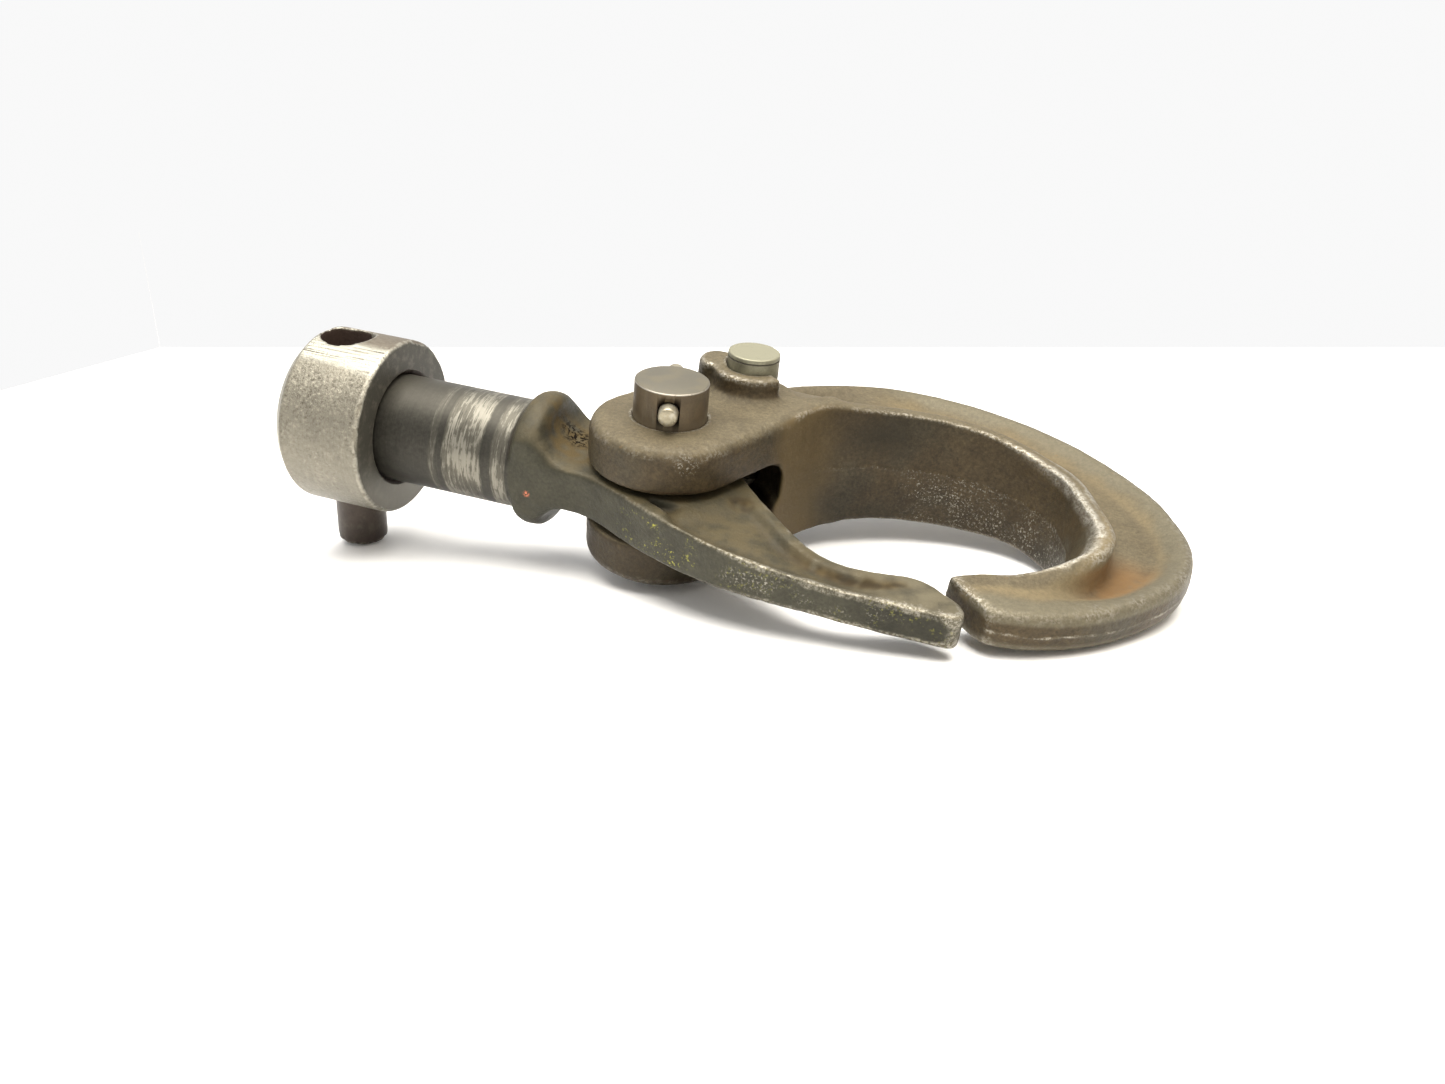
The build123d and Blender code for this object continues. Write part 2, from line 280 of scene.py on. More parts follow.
class Finish(Nodes):
    """A material built up in layers, each laid over the last through a mask."""

    def __init__(self, name, colour, metallic, roughness):
        self.material = bpy.data.materials.new(name)
        self.material.use_nodes = True
        super().__init__(self.material.node_tree)
        self.shader = self.tree.nodes["Principled BSDF"]
        self.place = self.add("ShaderNodeTexCoord").outputs["Object"]
        self.colour = (*colour, 1)
        self.metallic = metallic
        self.roughness = roughness
        self.heights = []

    def noise(self, size, detail=3.0, rough=0.55, place=None):
        """Noise with features `size` millimetres across, or in the units of another place."""
        scale = 1 / (size if place else size * MM)
        inputs = {"Vector": place or self.place, "Scale": scale, "Detail": detail, "Roughness": rough}
        return self.add("ShaderNodeTexNoise", inputs).outputs["Fac"]

    def stretch(self, scale):
        """Object coordinates multiplied by a scale along each axis."""
        return self.add("ShaderNodeMapping", {"Vector": self.place, "Scale": scale}).outputs[0]

    def attribute(self, name):
        return self.add("ShaderNodeAttribute", attribute_name=name).outputs["Fac"]

    def split(self, vector):
        return self.add("ShaderNodeSeparateXYZ", {0: vector}).outputs

    def facing(self, axis=2):
        """How far the surface faces along an axis of its piece, from -1 to 1."""
        return self.split(self.add("ShaderNodeTexCoord").outputs["Normal"])[axis]

    def band(self, value, low, high, soft):
        """1 where the value lies between low and high, fading over `soft`."""
        rise = self.ramp(value, low - soft, low + soft)
        fall = self.ramp(value, high - soft, high + soft, 1.0, 0.0)
        return self.times(rise, fall)

    def around_x(self, size_x, size_turn):
        """Coordinates along and around the shank, for marks that a lathe leaves."""
        x, y, z = self.split(self.place)
        angle = self.math("ARCTAN2", z, y)
        inputs = {
            0: self.math("DIVIDE", x, size_x * MM),
            1: self.math("DIVIDE", self.math("SINE", angle), size_turn),
            2: self.math("DIVIDE", self.math("COSINE", angle), size_turn),
        }
        return self.add("ShaderNodeCombineXYZ", inputs).outputs[0]

    def layer(self, mask, colour, metallic, roughness, strength=1.0):
        """Lays a colour over what is there, where the mask is 1."""
        if strength != 1.0:
            mask = self.times(mask, strength)
        self.colour = self.mix_colour(mask, self.colour, (*colour, 1))
        self.metallic = self.mix_number(mask, self.metallic, metallic)
        self.roughness = self.mix_number(mask, self.roughness, roughness)

    def shade(self, value, low, high):
        """Multiplies the colour by a factor that runs from low to high."""
        grey = self.ramp(value, 0.25, 0.75, low, high)
        joined = self.add("ShaderNodeCombineColor", {0: grey, 1: grey, 2: grey})
        self.colour = self.mix_colour(1.0, self.colour, joined.outputs[0], "MULTIPLY")

    def relief(self, height, depth):
        """Fine surface relief of the given depth in millimetres."""
        self.heights.append(self.times(height, depth * MM))

    def done(self):
        """The finished material."""
        total = 0.0
        for height in self.heights:
            total = self.math("ADD", total, height)
        bump = self.add("ShaderNodeBump", {"Strength": 1.0, "Distance": 1.0, "Height": total})
        surface = {
            "Base Color": self.colour,
            "Metallic": self.metallic,
            "Roughness": self.roughness,
            "Normal": bump.outputs[0],
        }
        for name, value in surface.items():
            self.join(value, self.shader.inputs[name])
        return self.material


# Colours, in linear light: both forgings
OXIDE = (0.046, 0.0325, 0.0155)
OXIDE_GREY = (0.036, 0.034, 0.0235)
OXIDE_GREEN = (0.033, 0.031, 0.0205)
BARE = (0.322, 0.301, 0.252)
DUST = (0.098, 0.080, 0.047)
RUST = (0.160, 0.086, 0.029)
GRIME_AND_SHADE = (0.021, 0.015, 0.0091)
# Bowl
BRIM_SCALE = (0.114, 0.101, 0.067)
DISH_DUST = (0.150, 0.117, 0.063)
SADDLE_SHADE = (0.022, 0.018, 0.011)
WALL_OCHRE = (0.090, 0.063, 0.026)
SLOT_SHADOW = (0.012, 0.008, 0.005)
EDGE_BROWN = (0.112, 0.093, 0.060)
RUBBED_STEEL = (0.21, 0.188, 0.146)
CHEWED_BRIGHT = (0.462, 0.441, 0.385)
# Shank
TURNED_SHANK = (0.032, 0.030, 0.0245)
SHANK_DUST = (0.074, 0.057, 0.026)
TIP_DUST_AND_LIGHT = (0.135, 0.120, 0.080)
SHANK_FILM = (0.085, 0.078, 0.060)
EARTH = (0.066, 0.045, 0.015)
PIT_BLACK = (0.010, 0.007, 0.004)
EDGE_OLIVE = (0.119, 0.106, 0.072)
YELLOW_PAINT = (0.434, 0.42, 0.042)
RED_PAINT = (0.525, 0.154, 0.077)
BAND_GREY = (0.115, 0.107, 0.085)
BAND_POLISH = (0.215, 0.203, 0.168)
BAND_GOUGE = (0.038, 0.035, 0.029)
# Collar
COLLAR_STEEL = (0.190, 0.175, 0.137)
COLLAR_LOWER = (0.150, 0.140, 0.112)
COLLAR_PORES = (0.052, 0.042, 0.027)
COLLAR_GLINT = (0.364, 0.343, 0.273)
GROUND_BRIGHT = (0.42, 0.413, 0.35)
GROUND_SCORE = (0.042, 0.034, 0.024)
CROWN_BROWN = (0.081, 0.063, 0.043)
FACE_DARK = (0.040, 0.037, 0.028)
FACE_MOTTLE = (0.112, 0.103, 0.080)
FACE_LOWER = (0.130, 0.122, 0.100)
BORE_BROWN = (0.035, 0.022, 0.017)
HOLE_BROWN = (0.040, 0.022, 0.015)
CHAMFER_BRIGHT = (0.392, 0.371, 0.315)
BACK_FACE = (0.098, 0.088, 0.066)
COLLAR_EDGE = (0.34, 0.325, 0.275)
# Pins and lock
PIN_BROWN = (0.066, 0.047, 0.024)
PIN_END = (0.090, 0.081, 0.058)
PIN_BLOTCH = (0.106, 0.091, 0.057)
PIN_STREAK = (0.108, 0.091, 0.062)
PIN_RIM = (0.30, 0.275, 0.23)
PIN_HOLE_SHADOW = (0.01, 0.0077, 0.0056)
PIN_FOOT = (0.073, 0.055, 0.028)
PALE_PORES = (0.084, 0.07, 0.049)
PALE_GLINT = (0.364, 0.35, 0.301)
CROSS_PIN_STEEL = (0.27, 0.24, 0.17)
BUTTON_ZINC = (0.175, 0.168, 0.118)
BUTTON_TOP = (0.205, 0.196, 0.134)
BUTTON_SCRATCH = (0.21, 0.203, 0.14)
BUTTON_PORES = (0.112, 0.098, 0.063)
BUTTON_LINE = (0.035, 0.029, 0.021)
BUTTON_SIDE = (0.119, 0.108, 0.081)
DRIVEN_STEEL = (0.043, 0.032, 0.025)
DRIVEN_SCALE = (0.07, 0.059, 0.046)
DRIVEN_WORN = (0.364, 0.336, 0.28)
PLUG_STEEL = (0.098, 0.087, 0.07)
RING_PHOSPHATE = (0.035, 0.035, 0.035)
SPRING_STEEL = (0.14, 0.133, 0.119)


def forged_bowl_finish():
    """Brown forged skin: dusty dish, rusty recess, rubbed edges and a battered bright crest."""
    f = Finish("bowl_forged_steel", OXIDE, 0.25, 0.50)
    f.shader.inputs["Specular IOR Level"].default_value = 0.25
    f.layer(f.ramp(f.noise(26, 3), 0.42, 0.66), OXIDE_GREY, 0.45, 0.44, strength=0.5)
    # Painted shade: the colour darkens lower down the bowl, towards the table.
    f.shade(f.ramp(f.split(f.place)[2], -25 * MM, 14 * MM), 0.64, 1.0)
    f.shade(f.noise(9, 5), 0.86, 1.16)
    f.shade(f.noise(1.2, 5, 0.75), 0.68, 1.34)
    up = f.facing()
    flat = f.math("ABSOLUTE", up)
    dust = f.times(f.ramp(up, 0.2, 0.9), f.ramp(f.noise(11, 5), 0.3, 0.65, 0.68, 0.95))
    f.layer(dust, DUST, 0.1, 0.68)
    under = f.times(f.ramp(up, -0.3, -0.9), f.ramp(f.noise(8, 6), 0.35, 0.65, 0.1, 0.6))
    f.layer(under, DUST, 0.1, 0.7, strength=0.6)
    f.shade(f.noise(1.0, 5, 0.8), 0.76, 1.24)
    f.shade(f.noise(4, 4, 0.6), 0.93, 1.07)
    f.layer(f.attribute("brim"), BRIM_SCALE, 0.35, 0.52, strength=0.75)
    f.layer(f.attribute("dish"), DISH_DUST, 0.08, 0.72, strength=0.8)
    f.shade(f.noise(1.3, 5, 0.8), 0.80, 1.20)
    rust = f.times(f.attribute("rust"), f.ramp(f.noise(6, 6, 0.65), 0.15, 0.55))
    f.layer(rust, RUST, 0.05, 0.8, strength=0.8)
    # Painted shade in the middle of the inner wall, under the dip of the crest.
    f.layer(f.attribute("saddle_shade"), SADDLE_SHADE, 0.4, 0.5, strength=0.85)
    # Lighter ochre on the inner wall towards the ear.
    f.layer(f.attribute("ochre"), WALL_OCHRE, 0.1, 0.65, strength=0.75)
    spots = f.times(f.ramp(f.noise(3, 4, 0.6), 0.68, 0.74), f.ramp(flat, 0.2, 0.7))
    f.layer(spots, RUST, 0.05, 0.8, strength=0.35)
    # Grime and painted shade darken the concave hollows.
    f.layer(f.attribute("hollow"), GRIME_AND_SHADE, 0.1, 0.8, strength=0.55)
    # Painted shadow: near black inside the fork's slot, between the ears.
    f.layer(f.attribute("slot_shadow"), SLOT_SHADOW, 1.0, 0.8, strength=0.9)
    fine = f.ramp(f.noise(0.9, 5, 0.75), 0.46, 0.56)
    flecks = f.times(f.attribute("flecks"), f.ramp(f.noise(0.8, 4, 0.75), 0.55, 0.62))
    f.layer(flecks, BARE, 0.9, 0.38, strength=0.75)
    edge = f.ramp(f.attribute("wear"), 0.18, 0.52)
    patchy = f.ramp(f.noise(7, 4, 0.6), 0.34, 0.58, 0.30, 1.0)
    f.layer(f.times(edge, patchy), EDGE_BROWN, 0.55, 0.44, strength=0.5)
    worn = f.times(f.times(edge, fine), patchy)
    f.layer(worn, BARE, 0.95, 0.35, strength=0.75)
    chewed = f.noise(0.85, 5, 0.75)
    rubbed = f.times(f.attribute("rubbed"), f.ramp(f.noise(3.2, 5, 0.65), 0.36, 0.56, 0.35, 1.0))
    f.layer(rubbed, RUBBED_STEEL, 0.85, 0.38, strength=0.8)
    bright = f.times(rubbed, f.ramp(chewed, 0.43, 0.52))
    f.layer(bright, CHEWED_BRIGHT, 0.95, 0.3, strength=0.95)
    f.relief(f.noise(0.9, 5, 0.7), 0.17)
    f.relief(f.noise(2.6, 3, 0.5), 0.14)
    f.relief(f.times(rubbed, chewed), 0.40)
    return f.done()


def forged_shank_finish():
    """Greenish forged skin with flecks of paint; the turned shank has worn bright bands."""
    f = Finish("shank_forged_steel", OXIDE_GREEN, 0.35, 0.46)
    f.shader.inputs["Specular IOR Level"].default_value = 0.25
    start = PIVOT.x
    x = f.split(f.place)[0]
    turned_part = f.ramp(x, start - 44.2 * MM, start - 45.6 * MM)
    f.layer(turned_part, TURNED_SHANK, 0.55, 0.43)
    f.shade(f.noise(10, 5), 0.80, 1.22)
    # Painted shade: the colour darkens along the finger towards its tip, low by the table.
    f.shade(f.ramp(x, start + 40 * MM, start + 95 * MM), 1.0, 0.66)
    f.shade(f.noise(1.2, 5, 0.7), 0.78, 1.24)
    up = f.facing()
    forged = f.math("SUBTRACT", 1.0, turned_part)
    dust = f.times(f.ramp(up, 0.25, 0.95), f.ramp(f.noise(7, 6), 0.3, 0.66, 0.25, 0.8))
    f.layer(f.times(dust, forged), SHANK_DUST, 0.15, 0.66)
    # Dust on top of the tip, which also lifts the top back out of the painted shade, so that shade stays on
    # the tip's sides.
    tip = f.times(dust, f.ramp(x, start + 55 * MM, start + 82 * MM))
    f.layer(tip, TIP_DUST_AND_LIGHT, 0.2, 0.6, strength=0.75)
    film = f.times(f.ramp(up, 0.55, 1.0), turned_part)
    f.layer(film, SHANK_FILM, 0.4, 0.5, strength=0.4)
    f.layer(f.attribute("dirt"), EARTH, 0.05, 0.8, strength=0.95)
    f.layer(f.attribute("soil"), GRIME_AND_SHADE, 0.8, 0.8, strength=0.85)
    # Grime and painted shade darken the concave hollows.
    f.layer(f.attribute("hollow"), GRIME_AND_SHADE, 0.1, 0.8, strength=0.5)
    pits = f.times(f.attribute("pitted"), f.ramp(f.noise(1.1, 3, 0.6), 0.50, 0.56))
    f.layer(pits, PIT_BLACK, 1.0, 0.8)
    fine = f.ramp(f.noise(0.9, 5, 0.75), 0.45, 0.55)
    patchy = f.ramp(f.noise(7, 4, 0.6), 0.36, 0.60, 0.25, 1.0)
    edge = f.times(f.ramp(f.attribute("wear"), 0.14, 0.46), patchy)
    f.layer(f.times(edge, forged), EDGE_OLIVE, 0.6, 0.42, strength=0.5)
    worn = f.times(edge, fine)
    f.layer(f.times(worn, forged), BARE, 0.95, 0.33, strength=0.65)
    scuffs = f.times(f.attribute("scuffs"), f.ramp(f.noise(0.8, 5, 0.75), 0.54, 0.61))
    f.layer(scuffs, BARE, 0.85, 0.4, strength=0.8)
    paint = f.times(f.attribute("paint"), f.ramp(f.noise(1.0, 4, 0.7), 0.585, 0.63))
    f.layer(paint, YELLOW_PAINT, 0.0, 0.5, strength=0.9)
    red = f.times(f.attribute("red_speck"), f.ramp(f.noise(0.7, 2), 0.4, 0.5))
    f.layer(red, RED_PAINT, 0.0, 0.5)
    turned = f.noise(1.0, 4, 0.65, place=f.around_x(0.35, 1.4))
    streaks = f.noise(1.0, 5, 0.7, place=f.around_x(0.9, 0.42))
    cloud = f.noise(1.0, 4, 0.6, place=f.around_x(9, 0.5))
    wobble = f.math("MULTIPLY_ADD", f.noise(6, 4), 2.2 * MM, x)
    marks = f.math("ADD", f.times(turned, 0.6), f.times(streaks, 1.4))
    marks = f.math("ADD", marks, cloud)
    for low, high, amount in WORN_BANDS:
        zone = f.band(wobble, start + low * MM, start + high * MM, 0.5 * MM)
        f.layer(zone, BAND_GREY, 0.75, 0.44, strength=amount * 0.7)
        polish = f.times(zone, f.ramp(marks, 1.47, 1.62))
        f.layer(polish, BAND_POLISH, 0.70, 0.48, strength=amount)
        gouge = f.times(zone, f.ramp(marks, 1.34, 1.22))
        f.layer(gouge, BAND_GOUGE, 0.5, 0.5, strength=amount)
    lines = f.math("ADD", f.times(turned_part, f.math("SUBTRACT", turned, 0.5)), 0.5)
    f.shade(lines, 0.90, 1.10)
    f.relief(f.times(f.noise(0.9, 5, 0.7), forged), 0.16)
    f.relief(f.times(f.noise(2.6, 3, 0.5), forged), 0.14)
    f.relief(f.times(f.attribute("pitted"), f.ramp(f.noise(1.1, 3, 0.6), 0.57, 0.50)), 0.4)
    f.relief(f.times(turned, turned_part), 0.004)
    return f.done()


def collar_finish():
    """Machined and battered collar, with a patch ground bright beside the cross hole."""
    f = Finish("collar_machined_steel", COLLAR_STEEL, 0.65, 0.42)
    _, y, z = f.split(f.place)
    clock = f.math("ARCTAN2", f.times(y, -1.0), z)
    f.shade(f.noise(9, 4), 0.86, 1.15)
    f.shade(f.noise(1.0, 4, 0.6, place=f.around_x(0.5, 1.2)), 0.9, 1.1)
    f.layer(f.ramp(clock, 0.9, 1.7), COLLAR_LOWER, 0.7, 0.42, strength=0.5)
    speckle = f.noise(1.15, 5, 0.75)
    coarse = f.ramp(f.noise(12, 4), 0.4, 0.62, 0.45, 1.0)
    upper = f.ramp(clock, 1.9, 1.2, 0.35, 1.0)
    amount = f.times(coarse, upper)
    f.layer(f.times(amount, f.ramp(speckle, 0.52, 0.62)), COLLAR_PORES, 0.2, 0.65, strength=0.85)
    f.layer(f.times(amount, f.ramp(speckle, 0.46, 0.38)), COLLAR_GLINT, 0.8, 0.36, strength=0.65)
    ragged = f.math("ADD", clock, f.times(f.noise(1.0, 3, place=f.stretch((30, 260, 260))), 0.35))
    top = f.band(ragged, 0.34, 0.74, 0.06)
    scratch = f.noise(1.0, 5, 0.7, place=f.stretch((45, 1300, 1300)))
    ground = f.times(top, f.ramp(scratch, 0.40, 0.52))
    f.layer(ground, GROUND_BRIGHT, 0.85, 0.36, strength=0.85)
    f.layer(f.times(top, f.ramp(scratch, 0.44, 0.36)), GROUND_SCORE, 0.3, 0.6, strength=0.9)
    crown = f.band(ragged, -0.60, 0.30, 0.08)
    f.layer(crown, CROWN_BROWN, 0.4, 0.55, strength=0.75)
    face = f.ramp(f.facing(0), 0.6, 0.95)
    mottled = f.ramp(f.noise(4, 6, 0.7), 0.46, 0.66)
    f.layer(face, FACE_DARK, 0.35, 0.58)
    f.layer(f.times(face, mottled), FACE_MOTTLE, 0.5, 0.5, strength=0.5)
    f.layer(f.times(face, f.ramp(z, 2 * MM, -22 * MM)), FACE_LOWER, 0.5, 0.5, strength=0.7)
    bore = f.ramp(f.math("SQRT", f.math("ADD", f.times(y, y), f.times(z, z))), 25.5 * MM, 24 * MM)
    f.layer(f.times(bore, f.math("SUBTRACT", 1.0, face)), BORE_BROWN, 0.2, 0.7)
    f.layer(f.attribute("hole"), HOLE_BROWN, 0.2, 0.7)
    chamfer = f.band(f.facing(0), -0.95, -0.45, 0.06)
    f.layer(chamfer, CHAMFER_BRIGHT, 0.85, 0.4, strength=0.8)
    back = f.times(f.ramp(f.facing(0), -0.9, -0.97), f.ramp(f.noise(4, 6, 0.7), 0.40, 0.62, 0.5, 1.0))
    f.layer(back, BACK_FACE, 0.5, 0.5, strength=0.85)
    edge = f.times(f.ramp(f.attribute("wear"), 0.34, 0.70), f.ramp(f.noise(2.5, 5, 0.7), 0.40, 0.54))
    f.layer(edge, COLLAR_EDGE, 0.9, 0.36, strength=0.8)
    f.relief(f.times(speckle, f.ramp(face, 0.0, 1.0, -1.0, -0.2)), 0.28)
    f.relief(f.times(scratch, top), 0.10)
    return f.done()


def round_steel(name, colour, roughness, metallic=0.75, depth=0.02):
    """Turned steel, a little mottled."""
    f = Finish(name, colour, metallic, roughness)
    f.shade(f.noise(5, 4), 0.82, 1.2)
    f.shade(f.noise(0.6, 4, 0.7), 0.88, 1.13)
    f.relief(f.noise(0.7, 4, 0.6), depth)
    return f


def pivot_pin_finish():
    """Brown load pin with a bright rim round its ground end."""
    f = round_steel("pivot_pin_steel", PIN_BROWN, 0.45, 0.5)
    z = f.split(f.place)[2]
    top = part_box("pivot_pin")[1].z
    end = f.ramp(z, top - 0.25 * MM, top - 0.1 * MM)
    f.layer(end, PIN_END, 0.4, 0.50)
    blotch = f.ramp(f.noise(7, 5), 0.45, 0.62)
    f.layer(f.times(end, blotch), PIN_BLOTCH, 0.3, 0.55, strength=0.6)
    streak = f.noise(1.0, 5, 0.7, place=f.stretch((700, 700, 60)))
    side = f.band(z, top - 10 * MM, top - 0.9 * MM, 0.3 * MM)
    f.layer(f.times(side, f.ramp(streak, 0.52, 0.64)), PIN_STREAK, 0.8, 0.38, strength=0.5)
    rim = f.band(z, top - 0.50 * MM, top - 0.16 * MM, 0.06 * MM)
    f.layer(f.times(rim, f.ramp(f.noise(2, 4), 0.25, 0.45)), PIN_RIM, 0.9, 0.34)
    # Painted shadow: near black inside the cross hole.
    f.layer(f.attribute("hole"), PIN_HOLE_SHADOW, 1.0, 0.8)
    foot = f.ramp(z, top - 8.5 * MM, top - 11.2 * MM)
    f.layer(foot, PIN_FOOT, 0.1, 0.75, strength=0.7)
    return f.done()


def cross_pin_finish():
    """Bare pale end of a driven pin, with dark pores and scratches."""
    f = round_steel("cross_pin_steel", CROSS_PIN_STEEL, 0.40, 0.7, 0.05)
    f.layer(f.ramp(f.noise(0.9, 5, 0.7), 0.56, 0.66), PALE_PORES, 0.3, 0.6, strength=0.75)
    f.layer(f.ramp(f.noise(2.5, 4), 0.50, 0.62), PALE_GLINT, 0.8, 0.35, strength=0.5)
    return f.done()


def lock_pin_finish():
    """Pale plated button with a dark line in its groove."""
    f = round_steel("lock_pin_zinc", BUTTON_ZINC, 0.42, 0.6, 0.04)
    z = f.split(f.place)[2]
    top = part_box("lock_pin")[1].z
    end = f.ramp(z, top - 0.3 * MM, top - 0.15 * MM)
    f.layer(end, BUTTON_TOP, 0.45, 0.5)
    scratch = f.noise(1.0, 5, 0.7, place=f.stretch((130, 900, 300)))
    f.layer(f.times(end, f.ramp(scratch, 0.58, 0.66)), BUTTON_SCRATCH, 0.5, 0.5, strength=0.6)
    f.layer(f.ramp(f.noise(1.1, 5, 0.7), 0.60, 0.70), BUTTON_PORES, 0.3, 0.6, strength=0.6)
    line = f.band(z, top - 1.75 * MM, top - 1.25 * MM, 0.12 * MM)
    f.layer(line, BUTTON_LINE, 0.2, 0.7, strength=0.85)
    f.layer(f.ramp(z, top - 4 * MM, top - 9 * MM), BUTTON_SIDE, 0.5, 0.5)
    return f.done()


def collar_pin_finish():
    """Dark driven pin, bright where its end is battered."""
    f = round_steel("collar_pin_dark_steel", DRIVEN_STEEL, 0.46, 0.5, 0.04)
    f.layer(f.ramp(f.noise(4, 5, 0.6), 0.5, 0.65), DRIVEN_SCALE, 0.6, 0.4, strength=0.5)
    worn = f.times(f.ramp(f.attribute("wear"), 0.3, 0.7), f.ramp(f.noise(1.6, 5, 0.7), 0.44, 0.54))
    f.layer(worn, DRIVEN_WORN, 0.9, 0.34, strength=0.9)
    return f.done()


# ---------------------------------------------------------------- pieces
# Plan curves in millimetres about the pivot axis, X to the bowl and Y to its spine: the bowl's
# opening and outer rim, and the finger's outer and inner edge.
OPENING = smooth_curve([(33.4, 12.8), (38.2, 22.6), (43.6, 30.8), (52.5, 37.3), (63.5, 42.0), (76.0, 44.7),
                        (89.0, 44.4), (101.4, 40.8), (111.0, 34.0), (117.8, 25.5), (121.2, 14.0),
                        (121.4, 2.0), (117.8, -9.5), (110.0, -17.2), (100.0, -21.4), (88.2, -26.6)])
OUTER_RIM = smooth_curve([(100.8, -41.4), (116.0, -38.0), (130.0, -30.2), (144.5, -16.0), (153.8, -1.5),
                          (157.6, 14.0), (155.4, 31.0), (147.4, 50.0), (132.4, 69.0), (116.0, 82.6),
                          (98.0, 91.6), (78.0, 96.4), (57.0, 96.4), (35.5, 90.0), (18.0, 77.5),
                          (6.0, 62.0), (-3.0, 46.0)])
FINGER_BACK = smooth_curve([(-20.0, -18.9), (-12.0, -22.0), (2.1, -30.0), (16.0, -36.5), (25.6, -40.1),
                            (36.0, -42.6), (51.6, -44.9), (73.0, -46.3), (91.0, -46.6)])
FINGER_FRONT = smooth_curve([(86.4, -33.0), (79.0, -30.4), (70.0, -31.7), (60.0, -31.4), (52.0, -28.0),
                             (44.8, -21.8), (36.1, -12.2), (26.5, -0.6), (19.5, 11.2)])


def about_bowl(q):
    """For each point: distance out from the opening, share of the way round it, distance in from the rim."""
    out, _, along = nearest(q[:, :2], OPENING)
    rim_side, _, _ = nearest(q[:, :2], OUTER_RIM)
    return out, along, rim_side


def crest_lean(x, y, height):
    """How far the tall flange leans outwards at the end of the bowl, in millimetres."""
    return 6.6 * np.exp(-((y + 4) / 14) ** 2) * step(x, 92, 106) * (height / 14) ** 1.5


def dish_bowl(q):
    """Turns the stepped CAD web of the bowl into one soft dish between the tall flange and the outer rim."""
    out, left, _ = nearest(q[:, :2], OPENING)
    rim_side, rim_left, _ = nearest(q[:, :2], OUTER_RIM)
    x, y, z = q.T
    height = np.abs(z)
    spine = np.interp(x, (40, 50, 62, 78, 93, 101, 112), (23.1, 21.2, 20.0, 19.4, 18.4, 17.4, 16.0))
    bowl = np.interp(y, (-30, -22, -16, -8, 2, 14, 30, 44), (5.6, 5.8, 8.6, 12.0, 14.2, 15.2, 16.0, 18.6))
    flange = np.where(x > 86, np.minimum(bowl, spine), spine)
    rim = 6.0 + (y + 40) * 0.0178
    floor = rim - 4.6 * step(x, 48, 72) * step(np.where(x > 86, y, 0), -32, -14)
    beyond = step(out, 4.5, np.interp(y, (-12, 30), (12.0, 14.0)))
    edge = step(rim_side, 2.0, 13.0)
    wanted = rim + (floor - rim) * edge
    wanted = flange + (wanted - flange) * beyond
    share = step(out, 3.5, 6.0) * step(rim_side, 1.2, 2.6) * step(x, 42, 50)
    share *= step(height, 2.5, 3.5) * step(distance(q, JAW_AT), 10, 17)
    new_height = height + (wanted - height) * share
    lean = crest_lean(x, y, new_height) * step(out, 17, 6) * step(out, -3, -0.5)
    draft = 0.10 * np.minimum(height, 8) * step(rim_side, 6, 1) * step(x, 5, 30)
    result = q.copy()
    result[:, 2] = np.sign(z) * new_height
    result[:, :2] += left * lean[:, None] + rim_left * draft[:, None]
    return result


def dish_finger(q):
    """Soft hollow along the finger between its two edge ridges."""
    x, y, z = q.T
    back, _, _ = nearest(q[:, :2], FINGER_BACK)
    front, _, _ = nearest(q[:, :2], FINGER_FRONT)
    height = np.abs(z)
    half = np.interp(x, (-60, 4, 16, 26, 36, 46, 56, 110), (7.4, 7.4, 7.0, 6.5, 6.0, 5.5, 5.1, 5.1))
    hollow = step(back, 0.6, 4.6) * step(front, 3.0, 6.6)
    hollow *= step(distance(q), 22, 34) * step(x, 80, 64)
    floor = 4.0 - 1.3 * step(front, 13, 6) * step(x, 30, 44)
    wanted = half + (floor - half) * hollow
    share = step(x, 8, 14) * step(height, 2.6, 3.4) * step(back, 0.4, 1.4) * step(front, 0.4, 1.4)
    share *= step(-y, -4, 2) + step(-y, 2, -4) * step(distance(q), 22.6, 24)
    result = q.copy()
    result[:, 2] = np.sign(z) * (height + (wanted - height) * share)
    return result


def z_span(node):
    """Lowest and highest point of a CAD node, in millimetres."""
    return [corner.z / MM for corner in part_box(node)]


def sculpt(piece, shape):
    """Moves a piece's points by a function that works in millimetres about the pivot."""
    mesh = piece.data
    set_points(mesh, shape(local(points_of(mesh))) * MM + np.array(PIVOT))


def roughen(piece, strength):
    """Lumps and scale of a forged skin, as real relief along the surface."""
    mesh = piece.data
    points, normals = points_of(mesh), normals_of(mesh)
    lumps = 0.16 * MM * grain(points, 11, 3.0) + 0.07 * MM * grain(points, 3.5, 8.0)
    scale = 0.035 * MM * grain(points, 1.6, 5.0)
    set_points(mesh, points + normals * ((lumps + scale) * strength)[:, None])


def bowl_softness(q):
    """How far the edges of the bowl are rounded at each point."""
    x, y, z = q.T
    height = np.abs(z)
    out, _, rim_side = about_bowl(q)
    from_lock = distance(q, LOCK_AT)
    ear_rims = 0.14 + 0.2 * step(height, 20, 22) * step(from_lock, 14, 20)
    flange = 0.45 * step(x, 36, 46) * step(height, 5.5, 8) * step(out, 3.5, 7.0)
    outer_rim = 0.55 * step(rim_side, 6.0, 3.5)
    behind_lock = 0.95 * step(y, 40, 48) * step(x, 60, 50) * step(from_lock, 15, 20)
    guard_foot = 0.9 * step(from_lock, 20, 16) * step(z, 20.5, 22.5) * step(z, 28, 25.5)
    guard_top = 0.2 * step(from_lock, 16, 13) * step(z, 24, 26)
    jaw = 0.4 * step(distance(q, JAW_AT), 13, 8)
    return np.max([ear_rims, flange, outer_rim, behind_lock, guard_foot, guard_top, jaw], axis=0)


